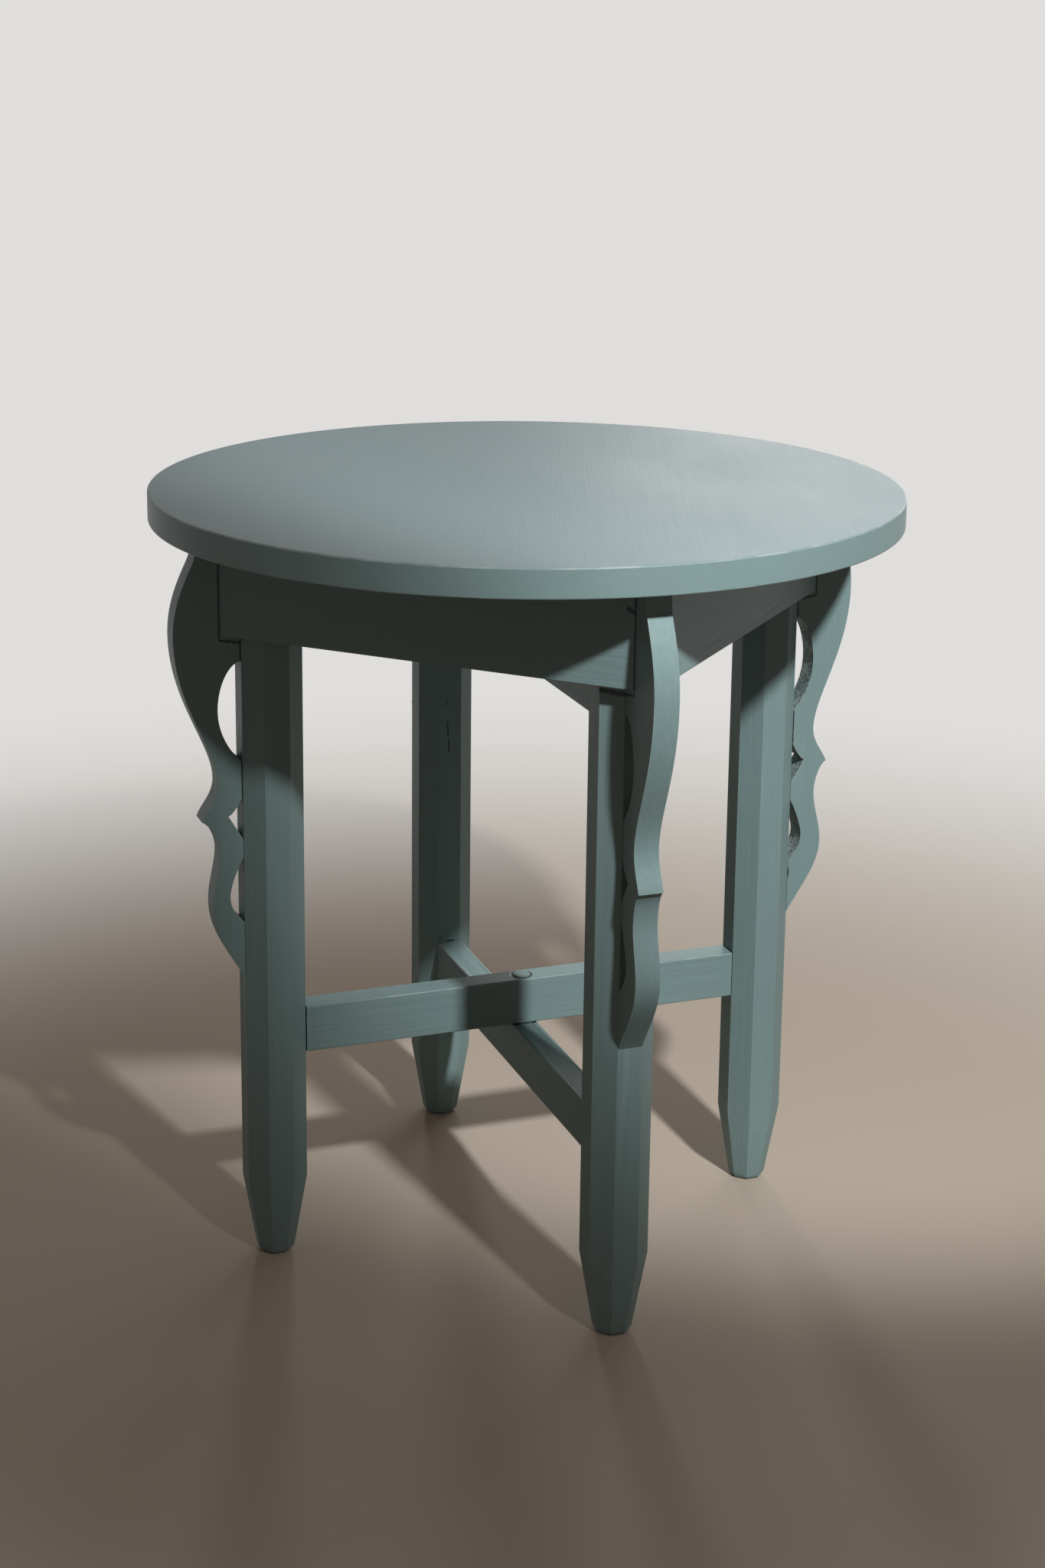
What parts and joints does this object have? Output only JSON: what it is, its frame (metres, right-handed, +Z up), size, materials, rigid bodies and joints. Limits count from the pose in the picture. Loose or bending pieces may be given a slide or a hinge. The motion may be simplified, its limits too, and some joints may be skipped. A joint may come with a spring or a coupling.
{
  "type": "side table",
  "caption": "Round painted side table on octagonal legs, with a square apron, scroll-sawn corner brackets and crossed rails.",
  "frame": {"origin": "on the floor, under the middle of the top", "axes": "+Z up; the legs stand on the X and Y axes, and -Y points at the leg that is nearest in the picture"},
  "size_m": [0.6, 0.6, 0.63],
  "materials": {
    "grey_green_paint": "satin grey-green paint over wood",
    "bare_wood": "bare sawn wood",
    "steel": "plain steel"
  },
  "bodies": {
    "root": {"tabletop": "grey_green_paint", "apron_front_left": "grey_green_paint", "apron_front_right": "grey_green_paint", "apron_back_right": "grey_green_paint", "apron_back_left": "grey_green_paint", "leg_front": "grey_green_paint", "leg_right": "grey_green_paint", "leg_back": "grey_green_paint", "leg_left": "grey_green_paint", "bracket_front": "grey_green_paint", "bracket_right": "grey_green_paint", "bracket_back": "grey_green_paint", "bracket_left": "grey_green_paint", "lower_rail_front_back": "grey_green_paint", "lower_rail_left_right": "grey_green_paint", "lower_rail_peg": "grey_green_paint", "upper_rail_front_back": "grey_green_paint", "upper_rail_left_right": "grey_green_paint", "upper_rail_peg": "grey_green_paint", "glue_block_front_left": "bare_wood", "glue_block_front_right": "bare_wood", "glue_block_back_right": "bare_wood", "glue_block_back_left": "bare_wood", "bracket_dowel_front_1": "bare_wood", "bracket_dowel_front_2": "bare_wood", "bracket_dowel_front_3": "bare_wood", "bracket_dowel_right_1": "bare_wood", "bracket_dowel_right_2": "bare_wood", "bracket_dowel_right_3": "bare_wood", "bracket_dowel_back_1": "bare_wood", "bracket_dowel_back_2": "bare_wood", "bracket_dowel_back_3": "bare_wood", "bracket_dowel_left_1": "bare_wood", "bracket_dowel_left_2": "bare_wood", "bracket_dowel_left_3": "bare_wood", "apron_dowel_front_left_1": "bare_wood", "apron_dowel_front_left_2": "bare_wood", "apron_dowel_front_left_3": "bare_wood", "apron_dowel_front_left_4": "bare_wood", "apron_dowel_front_right_1": "bare_wood", "apron_dowel_front_right_2": "bare_wood", "apron_dowel_front_right_3": "bare_wood", "apron_dowel_front_right_4": "bare_wood", "apron_dowel_back_right_1": "bare_wood", "apron_dowel_back_right_2": "bare_wood", "apron_dowel_back_right_3": "bare_wood", "apron_dowel_back_right_4": "bare_wood", "apron_dowel_back_left_1": "bare_wood", "apron_dowel_back_left_2": "bare_wood", "apron_dowel_back_left_3": "bare_wood", "apron_dowel_back_left_4": "bare_wood", "block_screw_front_left": "steel", "block_screw_front_right": "steel", "block_screw_back_right": "steel", "block_screw_back_left": "steel"}
  },
  "joints": []
}
